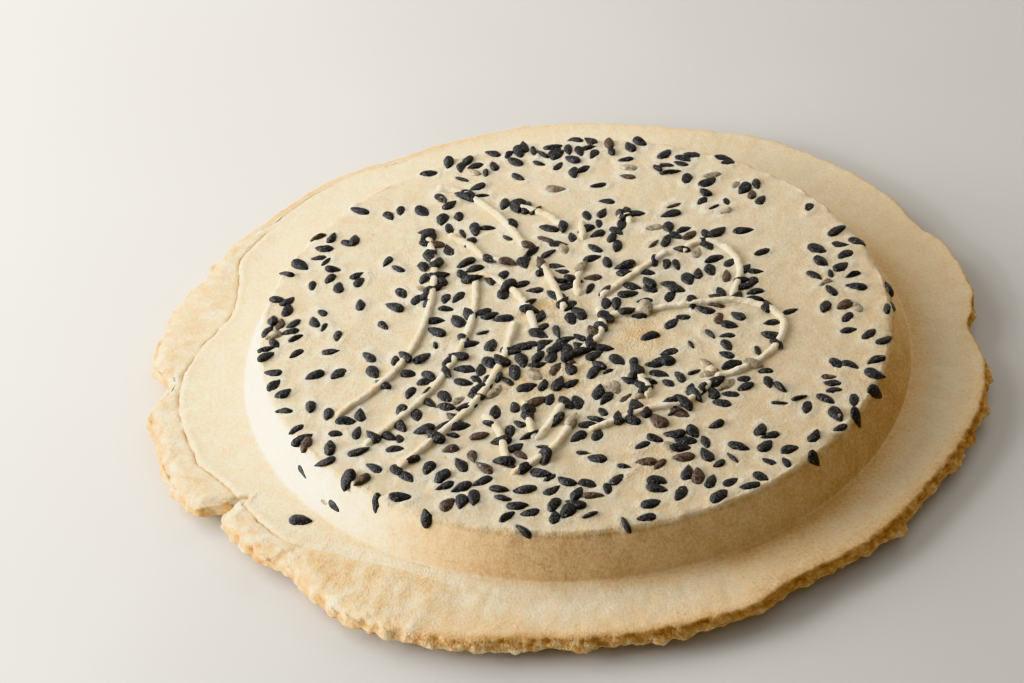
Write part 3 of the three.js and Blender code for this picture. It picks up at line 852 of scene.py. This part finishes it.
def dough(seeds):
    rings = [*face_rings(), *wall_rings(), *rim_rings(), *underside_rings()]
    face_centre = ring(1, 0, FACE_Z, BAKED["face"])
    base_centre = ring(1, 0, 0, BAKED["under"])
    rows = np.concatenate([face_centre, *rings, base_centre])
    places = rows[:, :3].copy()
    baked, crumb, lump, torn = rows[:, 3:].T.copy()
    x, y, z = places.T
    r = np.hypot(x, y)
    around = np.degrees(np.arctan2(y, x)) % 360
    on_face = (r <= FACE_R) & (z > RIM_TOP)
    for k in np.flatnonzero(on_face):
        z[k] += flat_relief(x[k], y[k], FACE_SWELL)

    for px, py, spread, share in STUCK:
        stuck = share * np.exp(-((np.hypot(x - px, y - py) / spread) ** 2)) * on_face
        baked += STUCK_BAKED * stuck
        crumb += STUCK_CRUMB * stuck
        lump += STUCK_LUMP * stuck
    push = lump * relief(places, DOUGH_LUMPS) + crumb * relief(places, CRUMB_GRAIN)
    resting = z <= 0
    push[resting] = -HOLLOWED * np.abs(push[resting])

    collar = collars(x[on_face], y[on_face], seeds)
    unevenness = COLLAR_LEAST + relief(places[on_face], COLLAR_UNEVEN)
    push[on_face] += COLLAR_H * collar * unevenness
    crumb[on_face] += COLLAR_CRUMB * collar
    baked[on_face] -= COLLAR_PALER * collar

    rough = torn > 0
    flat, how_torn = places[rough] * LAYERED, torn[rough]
    coarse, fine = grains(flat, *COARSE_CRUMBS), grains(flat, *FINE_CRUMBS)
    push[rough] += how_torn * (relief(flat, TORN_LUMPS) + FINE_H * fine)
    push[rough] += how_torn**2 * COARSE_H * coarse
    # Paler on the crumbs' tops and darker in the gaps between them: partly painted shade.
    baked[rough] -= how_torn * (COARSE_PALER * coarse + FINE_PALER * fine)

    on_lip = within(LIP, around) * ramp((0, 1), r - crease_radius(around))
    on_lip *= z > RIM_BOTTOM + 0.2
    blisters = on_lip * ramp(BLISTERED, edge_radius(around) - r)
    blisters *= domes(places, BLISTERS) - BLISTERS_IN
    push += BLISTER_H * blisters
    baked += on_lip * relief(places, LIP_PATCHES) - BLISTERS_PALER * blisters

    from_most = (around - MOST_MOTTLED_AT + 180) % 360 - 180
    near = np.exp(-((from_most / MOST_MOTTLED_SPREAD) ** 2))
    mottled = np.where(on_face, MOTTLED["face"], MOTTLED["wall"])
    mottled = np.where(r > FOOT_R, mix(MOTTLED["rim"], MOTTLED["front rim"], near), mottled)
    mottled += MOTTLED["lip"] * on_lip
    # Painted shade on the face, deepening towards the front.
    towards = np.cos(np.radians(around - SHADIEST_AT)) * r / FACE_R
    painted_shade = on_face * (LEAST_PAINTED_SHADE + MORE_PAINTED_SHADE * (1 + towards))
    glazed = on_lip * np.clip(GLAZED + GLAZED_TORN * torn, 0, 1)
    looks = dict(baked=baked, crumb=crumb, torn=torn, mottled=mottled, painted_shade=painted_shade, glazed=glazed)
    piece = make_mesh("cracker_dough", places, spindle([len(points) for points in rings]), looks)
    push_out(piece, push)
    return piece


# ---- crest


def through(points, spacing):
    """Evenly spaced points on the smooth line through [x, y] points."""
    known = np.array(points, float)
    if len(known) == 2:
        known = np.array([known[0], known.mean(0), known[1]])
    ends = [2 * known[0] - known[1], 2 * known[-1] - known[-2]]
    padded = np.concatenate([[ends[0]], known, [ends[1]]])
    dense = []
    for k in range(1, len(padded) - 2):
        p0, p1, p2, p3 = padded[k - 1 : k + 3]
        pairs = ((p0, p1), (p1, p2), (p2, p3))
        before, here, after = (max(np.linalg.norm(b - a) ** 0.5, 1e-4) for a, b in pairs)
        leaving = (p1 - p0) / before - (p2 - p0) / (before + here) + (p2 - p1) / here
        arriving = (p2 - p1) / here - (p3 - p1) / (here + after) + (p3 - p2) / after
        for t in np.linspace(0, 1, CURVE_STEPS, endpoint=False):
            dense.append(curve((p1, p2), (leaving * here, arriving * here), t))
    dense.append(padded[-2])
    dense = np.array(dense)
    run = run_along(dense)
    count = max(round(run[-1] / spacing), 3)
    at = np.linspace(0, run[-1], count + 1)
    return np.stack([np.interp(at, run, dense[:, k]) for k in range(2)], -1)


def ridge(points):
    """One raised line with a rounded back and round ends, its foot in the dough."""
    spine = through(points, RIDGE_SPACING)
    ahead = np.gradient(spine, axis=0)
    ahead /= np.linalg.norm(ahead, axis=1, keepdims=True)
    side = np.stack([-ahead[:, 1], ahead[:, 0]], -1)
    run = run_along(spine)
    from_end = np.minimum(run, run[-1] - run)
    close = np.clip(from_end / (RIDGE_W / 2), 0, 1)
    full = np.sqrt(np.maximum(1 - (1 - close) ** 2, RIDGE_TIP))
    left = [(-across, up) for across, up in RIDGE_HALF]
    section = [*left, (0, RIDGE_BACK), *reversed(RIDGE_HALF)]
    rows = []
    for k, (x, y) in enumerate(spine):
        wide = full[k] * (1 + flat_relief(x, y, RIDGE_WIDTHS))
        high = mix(RIDGE_END_H, 1, full[k]) * (1 + flat_relief(x, y, RIDGE_HEIGHTS))
        z = FACE_Z + flat_relief(x, y, FACE_SWELL)
        for across, up in section:
            px, py = (x, y) + side[k] * across * wide
            rows.append((px, py, z + (up * high if up > 0 else up)))
    around = len(section)
    faces = []
    for k in range(len(spine) - 1):
        faces += stitched(around, around, (k * around, (k + 1) * around))
    faces.append(tuple(range(around)))
    faces.append(tuple(reversed(range(len(rows) - around, len(rows)))))
    return np.array(rows), faces


def crest():
    points, faces = joined([ridge(line) for line in CREST])
    looks = {name: np.full(len(points), value) for name, value in CREST_LOOKS.items()}
    looks["baked"] = BAKED["crest"] + relief(points, CREST_PATCHES)
    return make_mesh("cracker_crest", points, faces, looks)


# ---- sesame


def density(x, y):
    """How thick the sesame fell at a place on the face."""

    def total(places):
        return sum(w * exp(-((x - px) ** 2 + (y - py) ** 2) / s**2) for px, py, s, w in places)

    past = (hypot(x, y) - THIN_RING_R) / THIN_RING_SPREAD
    ringed = THIN_RING_WEIGHT * exp(-(past**2))
    return max(BASE_DENSITY - ringed + total(PATCHES) - total(CLEARINGS), LEAST_DENSITY)


def footprint(x, y, heading, length):
    """The circles that stand for a seed where it looks for room."""
    along = (cos(heading) * length, sin(heading) * length)
    return [(x + a * along[0], y + a * along[1], r * length) for a, r in FOOTPRINT]


def strewn():
    """Every seed on the face as (x, y, heading, length), the longest first."""
    draw = generator(DRAWS["sesame"])
    prints = {}
    while len(prints) < ALL_SEEDS:
        length = LONGEST_SEED + (SHORTEST_SEED - LONGEST_SEED) * len(prints) / ALL_SEEDS
        r = (FACE_R - SEED_MARGIN) * sqrt(next(draw))
        angle = 2 * pi * next(draw)
        x, y = r * cos(angle), r * sin(angle)
        if next(draw) > density(x, y) / FULL_DENSITY:
            continue
        taken = [
            circle
            for (u, v, _, _), circles in prints.items()
            if abs(u - x) < CLOSE_BY and abs(v - y) < CLOSE_BY
            for circle in circles
        ]
        best, room = None, -LARGEST_LAP
        for _ in range(HEADINGS):
            heading = 2 * pi * next(draw)
            own = footprint(x, y, heading, length)
            gaps = [hypot(a - u, b - v) - r1 - r2 for a, b, r1 in own for u, v, r2 in taken]
            clear = min([1, *gaps])
            if clear > room:
                best, room = heading, clear
        if best is not None:
            prints[x, y, best, length] = footprint(x, y, best, length)
    return list(prints)


def thinned(seeds):
    """The strewn seeds without those that are too many."""

    def stays(seed):
        return all(hypot(seed[0] - x, seed[1] - y) >= reach for x, y, reach in THINNED)

    return seeds[:SOLID_SEEDS] + [seed for seed in seeds[SOLID_SEEDS:] if stays(seed)]


def heaped(vary, spines, centres):
    """The seeds of the heaps. Each looks in a few places for one with a little room."""
    seeds = []
    for x, y, spread, count in HEAPS:
        for _ in range(count):
            across = vary.random() < ACROSS_LINES
            best, room = None, -1
            for _ in range(HEAP_TRIES):
                at = np.array([vary.gauss(x, spread), vary.gauss(y, spread)])
                if across:
                    nearest = spines[np.hypot(*(spines - at).T).argmin()]
                    at = nearest + [vary.gauss(0, ACROSS_SPREAD), vary.gauss(0, ACROSS_SPREAD)]
                clear = np.hypot(*(centres - at).T).min()
                if clear > room:
                    best, room = at, clear
                if room > HEAP_GAP:
                    break
            centres = np.concatenate([centres, [best]])
            heading = vary.uniform(0, 2 * pi)
            seeds.append((*best, heading, vary.uniform(SHORTEST_SEED, LONGEST_SEED)))
    return seeds


def seed_form(vary):
    """A seed of length 1 lying flat with its tip towards +X, each a little different."""
    width, thickness = vary.uniform(*SEED_WIDTH), vary.uniform(*SEED_THICKNESS)
    tip, bend = vary.uniform(*SEED_TIP), vary.uniform(*SEED_BEND)
    shift = vary.uniform(0, 100)
    widest = tip / (tip + SEED_BUTT)
    fullest = widest**tip * (1 - widest) ** SEED_BUTT
    rows = [(0.5, bend * TIP_BEND, 0)]
    for k in range(1, SEED_RINGS + 1):
        x = cos(pi * k / (SEED_RINGS + 1)) / 2
        from_tip = 0.5 - x
        half = from_tip**tip * (1 - from_tip) ** SEED_BUTT / fullest
        for i in range(SEED_SIDES):
            turn = 2 * pi * i / SEED_SIDES
            y = half * width / 2 * cos(turn)
            keel = 1 - SEED_KEEL + SEED_KEEL * abs(sin(turn))
            z = half**SEED_FULLNESS * thickness / 2 * sin(turn) * keel
            swell = 1 + SEED_BULGES * noise.noise((x * 4 + shift, y * 4, z * 4))
            swell += SEED_FURROWS * noise.noise((x * 5, y * 11 + shift, z * 11))
            rows.append((x, y * swell + bend * (4 * x * x), z * swell))
    rows.append((-0.5, bend, 0))
    return np.array(rows), spindle([SEED_SIDES] * SEED_RINGS)


def laid(vary, angle, r, z, lean, heading, length, raised=0.0):
    """A seed on the surface at that angle and radius, its heading from outwards in radians."""
    points, faces = seed_form(vary)
    length = length * SEED_SCALE
    roll = vary.gauss(0, ROLL)
    if vary.random() < ON_SIDE:
        roll = vary.choice((-1, 1)) * vary.uniform(*ON_SIDE_ROLL)
    pitch = vary.gauss(0, PITCH)
    stands = (vary.uniform(*STANDS) - ROLLED_SINKS * abs(sin(roll))) * length + raised
    turn = np.array(
        Matrix.Rotation(angle, 4, "Z")
        @ Matrix.Translation((r, 0, z))
        @ Matrix.Rotation(lean, 4, "Y")
        @ Matrix.Translation((0, 0, stands))
        @ Matrix.Rotation(heading, 4, "Z")
        @ Matrix.Rotation(pitch, 4, "Y")
        @ Matrix.Rotation(roll, 4, "X")
        @ Matrix.Scale(length, 4)
    )
    placed = points @ turn[:3, :3].T + turn[:3, 3]
    placed[:, 2] -= max(placed[:, 2].max() - HIGHEST_SEED, 0)
    return placed, faces


def sesame(seeds):
    vary, kind_of = random.Random(DRAWS["seed forms"]), random.Random(DRAWS["seed kinds"])
    spines = np.concatenate([through(line, SPINE_SPACING) for line in CREST])
    kinds = {kind: [] for kind in KINDS_UP_TO}
    centres = np.array([seed[:2] for seed in seeds])
    over = heaped(vary, spines, centres)
    for k, (x, y, heading, length) in enumerate(seeds + over):
        share = kind_of.random()
        kind = next(kind for kind, up_to in KINDS_UP_TO.items() if share < up_to)
        angle, r = atan2(y, x), hypot(x, y)
        reach = np.hypot(spines[:, 0] - x, spines[:, 1] - y).min()
        raised = LIFTED_BY_LINE * max(1 - reach / RIDGE_W, 0)
        if k >= len(seeds):
            apart = np.hypot(centres[:, 0] - x, centres[:, 1] - y).min()
            raised = max(raised, LIFTED_BY_SEED * max(SEED_REACH - apart, 0))
        at_r, z, lean = over_edge(r - (FACE_R - EDGE_ROUND))
        z += flat_relief(x, y, FACE_SWELL)
        kinds[kind].append(laid(vary, angle, at_r, z, lean, heading - angle, length, raised))
    for angle, past, heading, length, kind in WALL_SEEDS:
        kinds[kind].append(laid(vary, radians(angle), *over_edge(past), radians(heading), length))
    for angle, r, heading, length, kind in RIM_SEEDS:
        kinds[kind].append(laid(vary, radians(angle), r, RIM_TOP, 0, radians(heading), length))
    return {kind: make_mesh(f"sesame_{kind}", *joined(parts)) for kind, parts in kinds.items()}


# ---- materials


class Surface:
    """A material's nodes, made one by one."""

    def __init__(self, name):
        self.material = bpy.data.materials.new(name)
        self.material.use_nodes = True
        self.tree = self.material.node_tree
        self.shader = self.tree.nodes["Principled BSDF"]
        self.place = self.node("TexCoord", {}).outputs["Object"]

    def feed(self, node, inputs):
        """Gives inputs of a node, by name or number, a value, a colour or a link."""
        for name, value in inputs.items():
            socket = node.inputs[name]
            if isinstance(value, bpy.types.NodeSocket):
                self.tree.links.new(value, socket)
            else:
                socket.default_value = (*value, 1) if socket.type == "RGBA" else value

    def node(self, kind, inputs, **settings):
        made = self.tree.nodes.new("ShaderNode" + kind)
        for name, value in settings.items():
            setattr(made, name, value)
        self.feed(made, inputs)
        return made

    def attribute(self, name):
        return self.node("Attribute", {}, attribute_name=name).outputs["Fac"]

    def spots(self, size, low=0.0, high=1.0, detail=2.0, rough=0.5):
        """0 to 1 in spots about `size` millimetres across, as noise goes from low to high."""
        scale = 1 / (size * MM)
        inputs = {"Vector": self.place, "Scale": scale, "Detail": detail, "Roughness": rough}
        value = self.node("TexNoise", inputs).outputs["Fac"]
        return value if (low, high) == (0, 1) else self.between(value, low, high)

    def between(self, value, low, high):
        inputs = {"Value": value, "From Min": low, "From Max": high}
        return self.node("MapRange", inputs, interpolation_type="SMOOTHSTEP").outputs["Result"]

    def sum(self, *terms):
        """Adds (value, weight) terms."""
        total = 0.0
        for value, weight in terms:
            inputs = {0: value, 1: weight, 2: total}
            total = self.node("Math", inputs, operation="MULTIPLY_ADD").outputs[0]
        return total

    def times(self, first, second):
        return self.node("Math", {0: first, 1: second}, operation="MULTIPLY").outputs[0]

    def colours(self, value, stops):
        """A colour by value, through (value, colour) stops."""
        made = self.node("ValToRGB", {"Fac": value})
        elements = made.color_ramp.elements
        while len(elements) < len(stops):
            elements.new(0.5)
        for element, (at, colour) in zip(elements, stops):
            element.position = at
            element.color = (*colour, 1)
        return made.outputs["Color"]

    def mixed(self, share, first, second, blend="MIX"):
        inputs = {0: share, 6: first, 7: second}
        return self.node("Mix", inputs, data_type="RGBA", blend_type=blend).outputs[2]

    def finish(self, colour, roughness, height, depth, **constants):
        """Sets the colour, roughness, bumps `depth` millimetres deep and the rest."""
        bump = self.node("Bump", {"Distance": depth * MM, "Height": height}).outputs["Normal"]
        inputs = {"Base Color": colour, "Roughness": roughness, "Normal": bump}
        inputs |= {name.replace("_", " "): value for name, value in constants.items()}
        self.feed(self.shader, inputs)
        return self.material


def dough_material():
    """Its tone goes by how far it is baked, which also holds painted light and shade, and is mottled,
    grainy, gilded and flecked, and painted shade darkens the face.
    """
    s = Surface("baked_dough")
    baked, crumb, torn = s.attribute("baked"), s.attribute("crumb"), s.attribute("torn")
    cloudy, blotchy = s.spots(14), s.spots(2.6, 0.34, 0.66)
    grainy, speckled = s.spots(0.5), s.spots(0.22, detail=1)
    patchy = s.times(s.attribute("mottled"), s.sum((blotchy, 0.26), (cloudy, 0.3), (0.28, -1.0)))
    level = s.sum((baked, 1.0), (patchy, 1.0), (grainy, 0.32), (speckled, 0.26), (0.29, -1.0))
    base = s.mixed(torn, s.colours(level, SKIN_TONES), s.colours(level, BROKEN_TONES))
    golden = s.times(s.spots(2.2, 0.5, 0.66, detail=3), s.sum((crumb, 0.45), (0.2, -1.0)))
    gilded = s.mixed(golden, base, GOLD)
    flecked = s.mixed(s.times(s.spots(0.5, 0.68, 0.8, detail=1), 0.22), gilded, FLECK)
    # Painted shade: the face's colour darkened by a grey tint, most towards the front.
    colour = s.mixed(s.attribute("painted_shade"), flecked, PAINTED_SHADE_TINT, blend="MULTIPLY")
    pores, dimples = s.spots(0.3), s.spots(1.3)
    porous = s.times(pores, s.sum((crumb, 0.7), (0.24, 1.0)))
    crumbly = s.times(s.spots(0.7, 0.3, 0.7, detail=3, rough=0.65), s.between(torn, 0.35, 0.95))
    height = s.sum((porous, 1.0), (dimples, 0.45), (crumbly, 1.1))
    roughness = s.sum((s.attribute("glazed"), -0.38), (0.8, 1.0))
    return s.finish(
        colour, roughness, height, DOUGH_BUMP, Specular_IOR_Level=0.12,
        Subsurface_Weight=0.2, Subsurface_Radius=(1.0, 0.6, 0.35), Subsurface_Scale=0.001,
    )


def seed_material(name, dark, light, flour, film):
    """Sesame with lighter spots, flour dust, and a film of dough over part of it."""
    s = Surface(name)
    shade = s.spots(0.45, 0.35, 0.65, detail=3)
    base = s.mixed(shade, dark, light)
    dusted = s.mixed(s.times(s.spots(0.25, 0.64, 0.72), flour), base, FLOUR)
    colour = s.mixed(s.spots(2.2, *film, detail=3), dusted, DOUGH_FILM)
    height = s.sum((s.spots(0.6, detail=3, rough=0.6), 1.0), (s.spots(0.2), 0.4))
    roughness = s.sum((shade, 0.25), (0.28, 1.0))
    return s.finish(colour, roughness, height, SEED_BUMP, Specular_IOR_Level=0.5)


def floor_material():
    s = Surface("pale_floor")
    colour = s.mixed(s.spots(60, 0.3, 0.7), *FLOOR_TONES)
    return s.finish(colour, 0.7, s.spots(2), FLOOR_BUMP, Specular_IOR_Level=0.2)


# ---- studio


def camera():
    data = bpy.data.cameras.new("camera")
    data.lens = CAMERA_LENS
    data.sensor_width = CAMERA_SENSOR
    view = added("camera", data)
    elevation = radians(CAMERA_ELEVATION)
    back = Vector((0, -cos(elevation), sin(elevation)))
    at = back * CAMERA_DISTANCE + Vector((0, 0, FACE_Z))
    aim = (Vector(CAMERA_TARGET) - at).to_track_quat("-Z", "Y").to_matrix().to_4x4()
    roll = Matrix.Rotation(radians(CAMERA_ROLL), 4, "Z")
    view.matrix_world = Matrix.Translation(at * MM) @ aim @ roll
    bpy.context.scene.camera = view


def lamp(name, azimuth, elevation, distance, size, power, colour):
    data = bpy.data.lights.new(name, "AREA")
    data.shape = "SQUARE"
    data.size = size
    data.energy = power
    data.color = colour
    light = added(name, data)
    a, e = radians(azimuth), radians(elevation)
    outwards = Vector((cos(a) * cos(e), sin(a) * cos(e), sin(e)))
    light.location = outwards * distance
    light.rotation_euler = (-light.location).to_track_quat("-Z", "Y").to_euler()


def studio():
    camera()
    for settings in LAMPS:
        lamp(*settings)
    world = bpy.data.worlds.new("studio")
    world.use_nodes = True
    background = world.node_tree.nodes["Background"]
    background.inputs["Color"].default_value = ROOM_LIGHT
    background.inputs["Strength"].default_value = ROOM_STRENGTH
    bpy.context.scene.world = world
    bpy.context.scene.view_settings.view_transform = "Khronos PBR Neutral"
    far = FLOOR_REACH
    corners = [(-far, -far, 0), (far, -far, 0), (far, far, 0), (-far, far, 0)]
    floor = make_mesh("floor", corners, [(0, 1, 2, 3)])
    floor.data.materials.append(floor_material())


# ---- the whole


def dress(piece, material):
    piece.data.materials.append(material)
    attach(piece, "root")
    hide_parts("cracker")


studio()
baked_dough = dough_material()
fallen = thinned(strewn())
dress(dough(fallen), baked_dough)
dress(crest(), baked_dough)
for kind, piece in sesame(fallen).items():
    slot = f"{kind}_sesame"
    dress(piece, seed_material(slot, *SESAME_LOOKS[kind]))
